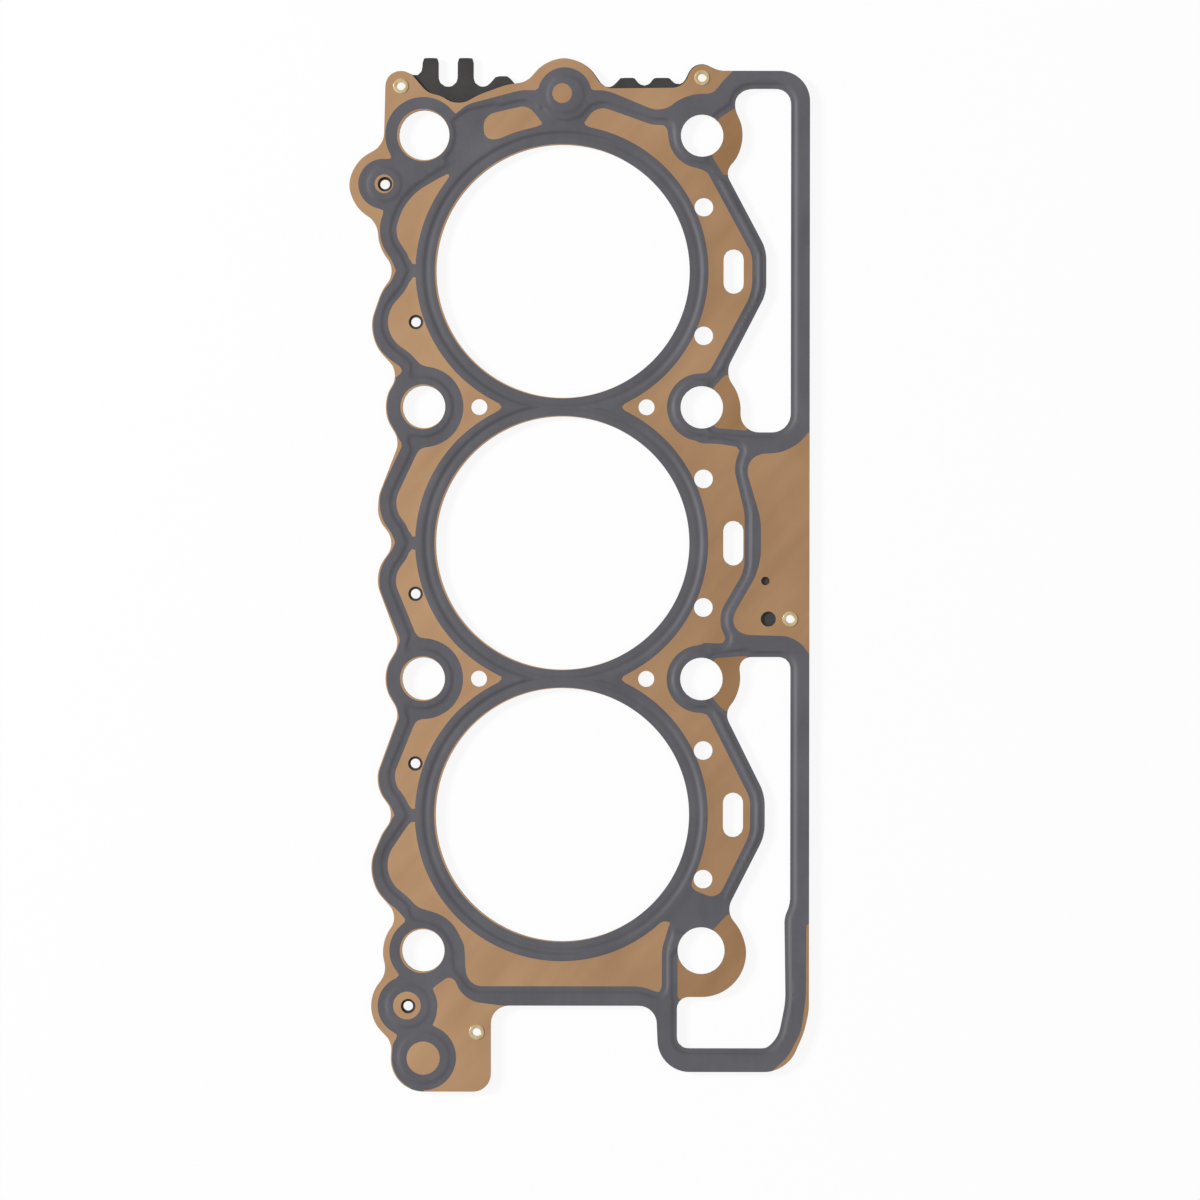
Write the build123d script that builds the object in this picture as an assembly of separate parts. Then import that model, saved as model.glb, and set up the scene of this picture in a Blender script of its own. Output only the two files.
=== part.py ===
from build123d import *
import math
import os

# Cylinder head gasket of one bank of a V6 engine, laid flat. Millimetres. In the plan
# view +X is to the right and +Y is up, and +Z comes out of the beaded face. The origin
# is the middle cylinder's axis on the underside of the carrier sheet.

# Cylinders, with the narrow bridge between two openings
bore_d = 83.9
bridge_width = 6.1
bore_spacing = bore_d + bridge_width
half_spacing = bore_spacing / 2

# Head bolts in two rows of four, the dowel bolts in wider holes
bolt_row = bore_d / 2 + 4.05
bolt_hole_d = 14.1
dowel_left_d = 16.6
dowel_right_d = 15.6
end_bolt = bore_spacing + half_spacing

# Coolant passages
coolant_x = bore_d / 2 + 4.65
coolant_rise = 21.3
coolant_d = 6.2
slot_x = bore_d / 2 + 14.55
slot_width = 6.7
slot_length = 14.8
bridge_hole_x = 27.7
bridge_hole_d = 5.3

# Metering holes, small in the carrier and wider in the beaded sheet
meter_d = 3.2
meter_clear_d = 4.8
meter_x = -bore_d / 2 - 6.75
meter_rise = 16.9
oil_boss_x = -bolt_row - 13.0
oil_boss_drop = 16.3
foot_meter_x = -bolt_row - 5.0
foot_meter_drop = 18.4

# Blind holes of the beaded sheet, closed underneath by the carrier
blind_x = bolt_row + 21.6
blind_small_d = 2.8
blind_small_drop = 12.5
blind_large_d = 5.0
blind_large_drop = 25.1

# Sheets
beaded_t = 0.25
carrier_t = 0.9

# Full bead round each cylinder, from the edge of the opening outwards
bead_start = 2.1
bead_slope_in = 1.2
bead_slope_out = 1.5
bead_depth = 0.25

# Lacquer left bare between the printed seal tracks
lacquer_t = 0.04
print_shift = -0.35
bore_track = 6.55
bolt_track_r = 13.4
corner_track_r = 12.6
right_track_r = 11.2
boss_track_r = 8.9
meter_track_r = 9.9
disc_track_r = 10.9
boss_dot_d = 6.6
disc_dot_d = 11.0

# Eyelets
eyelet_hole_d = 3.7
eyelet_bore_d = 2.7
eyelet_rim_d = 5.0
eyelet_rim_t = 0.2
eyelet_fit = 0.05

# Outer edge: lobes stand out round the passages and valleys run in between them
lobe_reach = 14.8
lobe_r = 12.0
valley_reach = 8.0
valley_rise = 11.3
valley_r = 6.2
waist = 13.25
side_reach = 35.7
top_reach = 21.4
foot_reach = 46.7
step_reach = 18.2
leg_reach = 40.1
right_edge = bolt_row + side_reach
top_edge = end_bolt + top_reach
foot_edge = -end_bolt - foot_reach
foot_step = -end_bolt - step_reach
leg_edge = -end_bolt - leg_reach
foot_r = 11.0
boss_r = 11.9
boss_drop = 7.8
foot_disc_drop = 35.4
eyelet_lobe_r = 5.0
foot_eyelet_drop = 27.0
foot_eyelet_inset = 17.7

# Windows in the timing case side
side_bar = 6.2
top_bar = 5.8
window_right = right_edge - side_bar
window_top = top_edge - top_bar
window_wall = 25.35
window_wall_r = 12.0
window_bolt_r = 13.2
window_corner_r = 3.8
foot_window_drop = 32.4

# Tabs of the carrier, from the top edge
tab_r = 1.0
tab_root_r = 3.0
tall_tab_rise = 4.2
low_tab_drop = 2.3
tab_root_drop = 5.3

# How far the chords of a round stray from it, on edges, small holes and print, and the shortest edge
edge_stray = 0.22
hole_stray = 0.12
print_stray = 0.4
tiny = 1e-4

# Heights
plate_z = carrier_t + bead_depth
top_z = plate_z + beaded_t
sheet_clear = 5.0

cylinders = [(0.0, y) for y in (bore_spacing, 0.0, -bore_spacing)]
bolts = [(x, y) for x in (-bolt_row, bolt_row) for y in (end_bolt, half_spacing, -half_spacing, -end_bolt)]
corner_bolt, left_upper_bolt, left_lower_bolt, foot_bolt = bolts[:4]
top_bolt, right_upper_bolt, right_lower_bolt, leg_bolt = bolts[4:]
upper_bore, middle_bore, lower_bore = cylinders
meters = [
    (oil_boss_x, end_bolt - oil_boss_drop),
    (meter_x, bore_spacing - meter_rise),
    (meter_x, -meter_rise),
    (meter_x, meter_rise - bore_spacing),
    (foot_meter_x, -end_bolt - foot_meter_drop),
]
oil_boss, upper_meter, middle_meter, lower_meter, foot_meter = meters
top_boss = (0.8, top_edge - boss_drop)
foot_disc = (-bolt_row, -end_bolt - foot_disc_drop)
eyelets = {
    "eyelet_top_left": (-bolt_row - 7.8, top_edge - 5.2),
    "eyelet_top_right": (bolt_row - 0.1, top_edge - 2.3),
    "eyelet_right_middle": (right_edge - 6.4, -blind_large_drop),
    "eyelet_bottom_left": (-bolt_row + foot_eyelet_inset, -end_bolt - foot_eyelet_drop),
}
left_eyelet, top_eyelet, _, foot_eyelet = eyelets.values()


def near(spot, *corners):
    """Corners given from the hole, boss or edge that they go round."""
    return [(spot[0] + x, spot[1] + y, r) for x, y, r in corners]


def chords(radius, turn, stray):
    """Number of chords that follow a round of this radius and turn within the allowed stray."""
    return math.ceil(turn / (2 * math.degrees(math.acos(1 - stray / radius))))


def outline(*corners, stray=edge_stray):
    """Closed face through (x, y, radius) corners, each turned in chords that follow its arc.

    A radius gives way where its neighbours leave less room.
    """
    count = len(corners)
    spots = [Vector(x, y) for x, y, _ in corners]
    sides = [spots[(i + 1) % count] - spots[i] for i in range(count)]
    halves = [math.radians((-sides[i - 1]).get_angle(sides[i])) / 2 for i in range(count)]
    runs = [r / math.tan(h) for (_, _, r), h in zip(corners, halves)]
    rooms = [min(1.0, sides[i].length / max(runs[i] + runs[(i + 1) % count], tiny)) for i in range(count)]
    points = []
    for i in range(count):
        run = runs[i] * min(rooms[i - 1], rooms[i])
        if not run:
            points.append(spots[i])
            continue
        back = (-sides[i - 1]).normalized()
        ahead = sides[i].normalized()
        radius = run * math.tan(halves[i])
        crown = spots[i] + (back + ahead).normalized() * (run / math.cos(halves[i]) - radius)
        arc = ThreePointArc(spots[i] + back * run, crown, spots[i] + ahead * run)
        steps = chords(radius, 180 - 2 * math.degrees(halves[i]), stray)
        points.extend(arc @ (k / steps) for k in range(steps + 1))
    apart = [p for i, p in enumerate(points) if (p - points[i - 1]).length > tiny]
    return make_face(Polyline(*apart, close=True))


def discs(spots, diameter):
    """True circles, for what a bolt or a piston goes through."""
    return [Pos(x, y) * Circle(diameter / 2) for x, y in spots]


def facet_disc(diameter, stray=hole_stray):
    return RegularPolygon(diameter / 2, chords(diameter / 2, 360, stray))


def facet_discs(spots, diameter, stray=hole_stray):
    """Many-sided discs, for what is small and repeats."""
    return [Pos(x, y) * facet_disc(diameter, stray) for x, y in spots]


left_side = [
    *near(left_eyelet, (-5.0, 5.0, eyelet_lobe_r)),
    *near(corner_bolt, (-13.4, -3.3, 6.5)),
    *near(oil_boss, (-11.8, 6.5, 11.8), (-11.8, -6.5, 11.8), (-2.7, -12.5, 7.0)),
    *near(upper_bore, (-bore_d / 2 - 18.85, 7.6, lobe_r), (-bore_d / 2 - waist, 0.0, valley_r)),
    *near(upper_meter, (-11.4, 10.2, 15.0), (-16.6, -5.0, 13.5)),
    *near(left_upper_bolt, (-valley_reach, valley_rise, valley_r), (-lobe_reach, 0.0, lobe_r)),
    *near(left_upper_bolt, (-valley_reach, -valley_rise, valley_r)),
    *near(middle_bore, (-bore_d / 2 - 18.95, 15.8, 8.0), (-bore_d / 2 - 19.45, 8.3, 8.5)),
    *near(middle_bore, (-bore_d / 2 - waist, 0.0, valley_r)),
    *near(middle_meter, (-14.0, 6.4, 11.0)),
    *near(left_lower_bolt, (-valley_reach, valley_rise, valley_r), (-lobe_reach, 0.0, lobe_r)),
    *near(left_lower_bolt, (-valley_reach, -valley_rise, valley_r)),
    *near(lower_meter, (-13.9, -6.9, 10.5)),
    *near(lower_bore, (-bore_d / 2 - waist, 0.0, valley_r), (-bore_d / 2 - 17.75, -6.2, 13.0)),
    *near(lower_bore, (-bore_d / 2 - 23.75, -20.7, 14.0)),
    *near(foot_bolt, (-valley_reach, valley_rise, 5.8), (-14.3, 2.5, lobe_r), (-12.1, -7.4, 6.5)),
    *near(foot_meter, (-16.0, -0.9, 11.8), (-5.4, -11.9, 5.7)),
]
foot_side = [
    (foot_disc[0] - 11.4, foot_edge, foot_r),
    (foot_eyelet[0] + 4.7, foot_edge, 5.8),
    (foot_eyelet[0] + 4.7, foot_step, 6.0),
    (leg_bolt[0] - 14.9, foot_step, 6.0),
    (leg_bolt[0] - 14.0, leg_edge, 10.5),
    (right_edge - 7.4, leg_edge, foot_r),
    (right_edge - 1.6, leg_edge + 13.1, 24.0),
    (right_edge, leg_edge + 20.3, 17.0),
    (right_edge, top_edge, 10.0),
]
boss_side = near(top_boss, (5.9, boss_r, boss_r), (-5.9, boss_r, boss_r))
beaded_outline = outline(
    *left_side,
    *foot_side,
    *near(top_eyelet, (4.9, 2.3, 7.0), (-2.5, 6.6, eyelet_lobe_r), (-5.9, -3.3, 5.2)),
    *near(top_boss, (12.4, 1.9, 5.2)),
    *boss_side,
    *near(top_boss, (-12.9, 4.1, 5.9), (-19.8, 3.0, 14.0)),
    *near((-bolt_row, top_edge), (18.4, -7.9, 10.0), (11.2, -11.8, 6.7), (5.5, -8.5, 7.5), (0.9, -7.3, 6.0)),
    *near(left_eyelet, (2.6, 5.0, eyelet_lobe_r)),
)
right_tabs = [(35.2, 30.0), (23.6, 19.0)]
tall_tabs = [(16.3, 11.0), (4.7, -0.5)]
carrier_outline = outline(
    *left_side,
    *foot_side,
    *near(top_eyelet, (5.3, 2.3, 9.0), (-2.3, 6.6, eyelet_lobe_r), (-7.3, -4.7, tab_root_r)),
    *[(x, top_edge - low_tab_drop, tab_r) for x in right_tabs[0]],
    (sum(right_tabs[0] + right_tabs[1]) / 4 - 0.15, top_edge - 7.0, tab_root_r),
    *[(x, top_edge - low_tab_drop, tab_r) for x in right_tabs[1]],
    *near(top_boss, (13.8, 0.7, tab_root_r)),
    *boss_side,
    *near(top_boss, (-12.8, 3.0, 4.0), (-16.2, 2.8, 2.0), (-19.1, 6.0, tab_r), (-23.0, 6.0, tab_r)),
    *near((-bolt_row, top_edge), (20.8, -tab_root_drop, tab_root_r), (16.3, -tab_root_drop, tab_root_r)),
    *near((-bolt_row, top_edge), *[(x, tall_tab_rise, tab_r) for x in tall_tabs[0]]),
    *near((-bolt_row, top_edge), *[(x, -tab_root_drop, tab_root_r) for x in (11.0, 4.7)]),
    *near((-bolt_row, top_edge), *[(x, tall_tab_rise, tab_r) for x in tall_tabs[1]]),
    *near((-bolt_row, top_edge), (-1.0, -3.3, 2.7)),
    *near(left_eyelet, (1.7, 5.0, eyelet_lobe_r)),
)
upper_window = outline(
    (window_right, window_top, 5.0),
    (window_right, half_spacing - 8.3, 6.3),
    *near(right_upper_bolt, (12.6, -8.3, 6.1), (13.0, 3.4, window_bolt_r), (7.6, valley_rise, 6.4)),
    *near(upper_bore, *[(bore_d / 2 + window_wall, y, window_wall_r) for y in (-7.2, 7.2)]),
    *near(top_bolt, (7.6, -12.0, 4.2), (15.8, -2.3, window_bolt_r)),
    (top_bolt[0] + 7.7, window_top, 6.2),
)
lower_window = outline(
    *near(right_lower_bolt, (12.2, 7.3, window_corner_r)),
    (window_right, -half_spacing + 7.3, window_corner_r),
    (window_right, -end_bolt + 15.0, 10.0),
    (window_right - 1.9, -end_bolt + 11.3, 8.0),
    (window_right - 2.0, -end_bolt - foot_window_drop, 12.5),
    *near(leg_bolt, (-8.0, -foot_window_drop, window_corner_r), (-8.0, -15.3, window_corner_r)),
    *near(leg_bolt, (14.9, -15.3, 14.9), (14.9, 4.5, 14.9), (8.2, 13.1, 5.8)),
    *near(lower_bore, *[(bore_d / 2 + window_wall - 0.3, y, 13.4) for y in (-6.8, 6.8)]),
    *near(right_lower_bolt, (7.6, -valley_rise, 4.8), (13.3, -3.9, window_bolt_r)),
)


def slot():
    """Coolant slot with many-sided ends."""
    reach = (slot_length - slot_width) / 2
    ends = [Pos(0, s * reach) * facet_disc(slot_width) for s in (-1, 1)]
    return ends[0] + ends[1] + Rectangle(slot_width, 2 * reach)


coolant_spots = [(coolant_x, y + s * coolant_rise) for _, y in cylinders for s in (-1, 1)]
bridge_spots = [(u * bridge_hole_x, v * half_spacing) for u in (-1, 1) for v in (-1, 1)]
through_holes = [
    *discs(cylinders, bore_d),
    *discs(bolts[1:7], bolt_hole_d),
    *discs([corner_bolt], dowel_left_d),
    *discs([leg_bolt], dowel_right_d),
    *facet_discs(coolant_spots, coolant_d),
    *facet_discs(bridge_spots, bridge_hole_d),
    *facet_discs(eyelets.values(), eyelet_hole_d),
    *[Pos(slot_x, y) * slot() for _, y in cylinders],
]
blind_holes = [
    *facet_discs([(blind_x - 0.5, -blind_small_drop)], blind_small_d),
    *facet_discs([(blind_x + 0.5, -blind_large_drop)], blind_large_d),
]

# Carrier: a flat black sheet, with seats that take the eyelets' lower rims
carrier_plan = carrier_outline - [upper_window, lower_window]
carrier_plan -= through_holes + facet_discs(meters, meter_d)
rim_seats = facet_discs(eyelets.values(), eyelet_rim_d + 2 * eyelet_fit)
carrier_layer = extrude(carrier_plan, carrier_t) - [extrude(seat, eyelet_rim_t) for seat in rim_seats]


def bead_groove(x, y):
    """V groove that the full bead presses into the sheet's top."""
    r0 = bore_d / 2 + bead_start
    r1 = r0 + bead_slope_in
    r2 = r1 + bead_slope_out
    section = Polygon((r0, top_z), (r1, top_z - bead_depth), (r2, top_z), align=None)
    return Pos(x, y) * revolve(Plane.XZ * section, Axis.Z)


# Beaded sheet: pressed from flat, so its underside follows its top
beaded_plan = beaded_outline - [upper_window, lower_window]
beaded_plan -= through_holes + facet_discs(meters, meter_clear_d) + blind_holes
blank = Pos(0, 0, top_z - sheet_clear / 2) * Box(3 * right_edge, 3 * top_edge, sheet_clear)
blank -= [bead_groove(x, y) for x, y in cylinders]
top_layer = (blank - Pos(0, 0, -beaded_t) * blank) & extrude(beaded_plan, sheet_clear)

# Lacquer fields between the seal tracks
left_field = outline(
    *near(corner_bolt, (9.8, -11.3, 0.0)),
    *near(oil_boss, (7.1, -4.3, 15.0)),
    *near(upper_bore, (-56.1, 12.2, 7.5), (-52.0, 6.4, 9.0), (-49.2, 0.0, 0.0), (-52.2, -6.5, 10.0)),
    *near(upper_meter, (-14.5, -1.9, 10.5), (-2.4, -10.0, 11.6)),
    *near(left_upper_bolt, (-1.1, 14.2, 7.0), (-1.8, -14.2, 6.4)),
    *near(middle_bore, (-56.6, 12.0, 8.1), (-52.2, 6.5, 6.7), (-49.2, 0.0, 0.0)),
    *near(middle_bore, (-51.9, -5.5, 6.0), (-56.3, -11.5, 7.2)),
    *near(left_lower_bolt, (-2.4, 14.2, 6.6), (-2.7, -14.1, 7.6)),
    *near(lower_bore, (-56.6, 11.3, 7.1), (-52.4, 6.2, 8.7), (-49.2, 0.0, 0.0)),
    *near(lower_bore, (-61.6, -18.9, 10.7), (-50.9, -27.5, 14.0)),
    *near(foot_bolt, (-1.5, 13.7, 7.5), (12.8, 1.9, 0.0), (14.9, -11.8, 5.2)),
    *near(leg_bolt, (-18.6, -11.9, 13.0), (-13.0, -14.8, 2.0), (-13.0, 1.0, 19.0), (-9.2, 11.6, 0.0)),
    *near(lower_bore, (0.0, 0.0, 0.0)),
    *near(upper_bore, (0.0, 0.0, 0.0)),
    stray=print_stray,
)
right_field = outline(
    *near(upper_bore, (4.6, 47.0, 0.0), (11.2, 55.0, 5.2)),
    *near(top_bolt, (-16.6, 3.5, 9.0), (-11.7, 3.4, 2.2), (1.5, -11.7, 5.8)),
    *near(upper_bore, (62.7, 5.3, 8.1), (62.6, -7.0, 14.9)),
    *near(right_upper_bolt, (2.5, 11.8, 6.1), (5.2, -12.1, 0.0), (13.3, -12.8, 1.7)),
    *near(middle_bore, (56.3, 26.2, 10.6), (60.2, 10.0, 12.0), (60.2, -9.0, 12.0), (50.9, -25.0, 9.3)),
    *near(right_lower_bolt, (8.8, 12.0, 1.8), (1.2, 11.4, 0.0), (2.1, -11.7, 5.9)),
    *near(lower_bore, (62.2, 5.4, 8.8), (62.1, -6.2, 11.9), (52.8, -25.0, 4.7), (44.0, -23.0, 3.0)),
    *near(lower_bore, (0.0, 0.0, 0.0)),
    *near(upper_bore, (0.0, 0.0, 0.0)),
    stray=print_stray,
)
small_field = outline(
    *near(upper_bore, (-5.0, 47.0, 0.0), (-11.8, 55.0, 4.2), (-17.9, 53.6, 15.0)),
    *near(upper_bore, (-26.6, 51.6, 4.5), (-26.2, 44.6, 3.0), (-20.0, 41.0, 0.0)),
    stray=print_stray,
)
top_field = outline(
    *near(top_eyelet, (10.3, 2.3, 0.0), (6.7, -1.3, 11.7), (3.7, -5.4, 4.0)),
    *near(top_eyelet, (-5.0, -5.2, 14.5), (-13.4, -11.7, 7.2)),
    *near(top_boss, (19.4, -1.1, 0.0), (13.6, 1.3, 12.9), (6.7, 1.3, 0.0)),
    *near(top_boss, (-8.8, 1.3, 0.0), (-14.9, 1.3, 13.0)),
    *near(corner_bolt, (14.3, 10.2, 7.2), (9.6, 6.5, 0.0), (-0.5, 0.0, 0.0), (-14.0, 2.5, 0.0)),
    *near(left_eyelet, (-12.2, 13.8, 0.0)),
    *near(top_eyelet, (10.3, 10.9, 0.0)),
    stray=print_stray,
)
right_plate = outline(
    *near((right_edge, half_spacing), (8.3, -7.5, 0.0), (-0.2, -8.0, 0.0), (-5.7, -14.9, 14.0)),
    *near(right_upper_bolt, (13.2, -15.7, 6.2)),
    *near(middle_bore, (65.6, 8.0, 20.0), (65.6, -8.0, 20.0)),
    *near(right_lower_bolt, (6.8, 14.8, 5.8)),
    *near((right_edge, -half_spacing), (-4.3, 14.2, 9.4), (-0.2, 8.4, 0.0), (8.3, 7.9, 0.0)),
    stray=print_stray,
)
foot_plate = outline(
    *near(foot_eyelet, (10.3, 8.6, 0.0), (-4.3, 10.4, 9.0), (-8.1, 19.4, 2.5)),
    *near(foot_eyelet, (-15.7, 13.7, 2.0), (-11.7, 8.6, 10.8), (-14.6, 2.4, 2.7)),
    *near(foot_disc, (0.0, 0.0, 0.0), (0.0, -14.6, 0.0)),
    *near(foot_eyelet, (10.3, -23.0, 0.0)),
    stray=print_stray,
)


def track_discs(spots, radius):
    """Seal tracks printed round holes, with the whole print's small shift."""
    return facet_discs([(x + print_shift, y) for x, y in spots], 2 * radius, print_stray)


bore_track_r = bore_d / 2 + bore_track
inner_fields = left_field + right_field + small_field
inner_fields -= [
    *track_discs(cylinders, bore_track_r),
    *track_discs(bolts[1:4], bolt_track_r),
    *track_discs([corner_bolt], corner_track_r),
    *track_discs(bolts[4:7], right_track_r),
]
rim_fields = top_field + right_plate + foot_plate
rim_fields -= [
    *track_discs([top_boss], boss_track_r),
    *track_discs([corner_bolt], corner_track_r),
    *track_discs([foot_meter], meter_track_r),
    *track_discs([foot_disc], disc_track_r),
]
dots = track_discs([top_boss], boss_dot_d / 2) + track_discs([foot_disc], disc_dot_d / 2)
lacquer_plan = (inner_fields + rim_fields + dots) & carrier_plan
lacquer_plan -= facet_discs(meters, meter_clear_d) + blind_holes + rim_seats
lacquer_fields = extrude(Pos(0, 0, top_z) * lacquer_plan, lacquer_t)


def eyelet(x, y):
    """Short tube turned over at both ends, its lower rim seated flush in the carrier."""
    rim = facet_disc(eyelet_rim_d)
    body = extrude(rim, eyelet_rim_t)
    body += extrude(facet_disc(eyelet_hole_d - 2 * eyelet_fit), top_z)
    body += extrude(Pos(0, 0, top_z) * rim, eyelet_rim_t)
    body -= extrude(facet_disc(eyelet_bore_d), top_z + eyelet_rim_t)
    return Pos(x, y) * body


os.makedirs("parts", exist_ok=True)
export_step(carrier_layer, "parts/carrier_layer.step")
export_step(top_layer, "parts/top_layer.step")
export_step(lacquer_fields, "parts/lacquer_fields.step")
for name, spot in eyelets.items():
    export_step(eyelet(*spot), f"parts/{name}.step")
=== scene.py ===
import math

import bmesh
import bpy
import numpy as np
from mathutils import Matrix, Vector


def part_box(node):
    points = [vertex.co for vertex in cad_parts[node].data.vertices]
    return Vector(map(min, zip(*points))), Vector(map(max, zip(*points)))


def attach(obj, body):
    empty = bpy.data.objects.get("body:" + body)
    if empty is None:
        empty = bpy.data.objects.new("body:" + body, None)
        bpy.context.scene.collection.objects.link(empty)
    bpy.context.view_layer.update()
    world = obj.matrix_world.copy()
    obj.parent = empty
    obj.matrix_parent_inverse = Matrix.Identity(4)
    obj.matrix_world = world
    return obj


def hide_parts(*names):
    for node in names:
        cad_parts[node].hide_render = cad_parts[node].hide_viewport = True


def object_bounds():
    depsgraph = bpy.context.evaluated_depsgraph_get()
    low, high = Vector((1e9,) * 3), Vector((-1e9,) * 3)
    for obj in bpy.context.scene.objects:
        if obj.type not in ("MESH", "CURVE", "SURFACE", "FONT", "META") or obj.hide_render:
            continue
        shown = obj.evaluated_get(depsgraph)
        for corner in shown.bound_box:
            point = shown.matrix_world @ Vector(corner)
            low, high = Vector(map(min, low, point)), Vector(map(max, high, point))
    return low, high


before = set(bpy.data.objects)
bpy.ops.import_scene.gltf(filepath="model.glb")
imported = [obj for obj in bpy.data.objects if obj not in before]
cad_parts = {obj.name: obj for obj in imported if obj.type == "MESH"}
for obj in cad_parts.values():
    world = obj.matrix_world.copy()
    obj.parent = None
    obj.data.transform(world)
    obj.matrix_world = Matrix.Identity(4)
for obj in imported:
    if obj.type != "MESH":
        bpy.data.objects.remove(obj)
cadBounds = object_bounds()
mm = 0.001
tiny = 1e-9

# the plan of the gasket in millimetres, on the frame's own axes
engine = {
    "boreSpacing": 90.0,
    "boreRadius": 41.95,
    "boltRow": 46.0,
    "endBolt": 135.0,
    "boltHole": 7.05,
    "cornerDowelHole": 8.3,
    "legDowelHole": 7.8,
    "coolantHole": 3.1,
    "coolantSpot": (46.6, 21.3),
    "slotSpot": 56.5,
    "slotRadius": 3.35,
    "slotReach": 4.05,
    "bridgeHole": 2.65,
    "bridgeSpot": 27.7,
    "meterHole": 1.6,
    "meterClear": 2.4,
    "eyeletHole": 1.85,
    "rightEdge": 81.7,
    "topEdge": 156.4,
}
half = engine["boreSpacing"] / 2
rightEdge = engine["rightEdge"]
topEdge = engine["topEdge"]
bores = [(0.0, y) for y in (2 * half, 0.0, -2 * half)]
upperBore, middleBore, lowerBore = bores
bolts = [(x, y) for x in (-engine["boltRow"], engine["boltRow"])
         for y in (engine["endBolt"], half, -half, -engine["endBolt"])]
cornerBolt, leftUpperBolt, leftLowerBolt, footBolt = bolts[:4]
topBolt, rightUpperBolt, rightLowerBolt, legBolt = bolts[4:]
meters = [(-59.0, 118.7), (-48.7, 73.1), (-48.7, -16.9), (-48.7, -73.1), (-51.0, -153.4)]
oilBoss, upperMeter, middleMeter, lowerMeter, footMeter = meters
topBoss = (0.8, 148.6)
footDisc = (-46.0, -170.4)
eyeletSpots = {
    "eyelet_top_left": (-53.8, 151.2),
    "eyelet_top_right": (45.9, 154.1),
    "eyelet_right_middle": (75.3, -25.1),
    "eyelet_bottom_left": (-28.3, -162.0),
}
leftEyelet, topEyelet, _, footEyelet = eyeletSpots.values()
blindHoles = [(67.1, -12.5, 1.4), (68.1, -25.1, 2.5)]
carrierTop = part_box("carrier_layer")[1][2] / mm
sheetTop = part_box("top_layer")[1][2] / mm
print("frame loaded, printed face at", round(sheetTop, 3), "mm")


# corners given from the hole, boss or edge that they go round
def near(spot, *corners):
    return [(spot[0] + x, spot[1] + y, r) for x, y, r in corners]


leftSide = [
    *near(leftEyelet, (-5.0, 5.0, 5.0)),
    *near(cornerBolt, (-13.4, -3.3, 6.5)),
    *near(oilBoss, (-11.8, 6.5, 11.8), (-11.8, -6.5, 11.8), (-2.7, -12.5, 7.0)),
    *near(upperBore, (-60.8, 7.6, 12.0), (-55.2, 0.0, 6.2)),
    *near(upperMeter, (-11.4, 10.2, 15.0), (-16.6, -5.0, 13.5)),
    *near(leftUpperBolt, (-8.0, 11.3, 6.2), (-14.8, 0.0, 12.0), (-8.0, -11.3, 6.2)),
    *near(middleBore, (-60.9, 15.8, 8.0), (-61.4, 8.3, 8.5), (-55.2, 0.0, 6.2)),
    *near(middleMeter, (-14.0, 6.4, 11.0)),
    *near(leftLowerBolt, (-8.0, 11.3, 6.2), (-14.8, 0.0, 12.0), (-8.0, -11.3, 6.2)),
    *near(lowerMeter, (-13.9, -6.9, 10.5)),
    *near(lowerBore, (-55.2, 0.0, 6.2), (-59.7, -6.2, 13.0), (-65.7, -20.7, 14.0)),
    *near(footBolt, (-8.0, 11.3, 5.8), (-14.3, 2.5, 12.0), (-12.1, -7.4, 6.5)),
    *near(footMeter, (-16.0, -0.9, 11.8), (-5.4, -11.9, 5.7)),
]
footSide = [
    *near(footDisc, (-11.4, -11.3, 11.0)),
    *near(footEyelet, (4.7, -19.7, 5.8), (4.7, 8.8, 6.0)),
    *near(legBolt, (-14.9, -18.2, 6.0), (-14.0, -40.1, 10.5), (28.3, -40.1, 11.0)),
    *near(legBolt, (34.1, -27.0, 24.0), (35.7, -19.8, 17.0)),
    (rightEdge, topEdge, 10.0),
]
bossSide = near(topBoss, (5.9, 11.9, 11.9), (-5.9, 11.9, 11.9))
printedOutline = [
    *leftSide,
    *footSide,
    *near(topEyelet, (4.9, 2.3, 7.0), (-2.5, 6.6, 5.0), (-5.9, -3.3, 5.2)),
    *near(topBoss, (12.4, 1.9, 5.2)),
    *bossSide,
    *near(topBoss, (-12.9, 4.1, 5.9), (-19.8, 3.0, 14.0)),
    *near(cornerBolt, (18.4, 13.5, 10.0), (11.2, 9.6, 6.7), (5.5, 12.9, 7.5), (0.9, 14.1, 6.0)),
    *near(leftEyelet, (2.6, 5.0, 5.0)),
]
tabEdge = (-engine["boltRow"], topEdge)
carrierOutline = [
    *leftSide,
    *footSide,
    *near(topEyelet, (5.3, 2.3, 9.0), (-2.3, 6.6, 5.0), (-7.3, -4.7, 3.0)),
    *near((0.0, topEdge), (35.2, -2.3, 1.0), (30.0, -2.3, 1.0), (26.8, -7.0, 3.0)),
    *near((0.0, topEdge), (23.6, -2.3, 1.0), (19.0, -2.3, 1.0), (14.6, -7.1, 3.0)),
    *bossSide,
    *near(topBoss, (-12.8, 3.0, 4.0), (-16.2, 2.8, 2.0), (-19.1, 6.0, 1.0), (-23.0, 6.0, 1.0)),
    *near(tabEdge, (20.8, -5.3, 3.0), (16.3, -5.3, 3.0), (16.3, 4.2, 1.0), (11.0, 4.2, 1.0)),
    *near(tabEdge, (11.0, -5.3, 3.0), (4.7, -5.3, 3.0), (4.7, 4.2, 1.0), (-0.5, 4.2, 1.0)),
    *near(tabEdge, (-1.0, -3.3, 2.7)),
    *near(leftEyelet, (1.7, 5.0, 5.0)),
]
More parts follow.
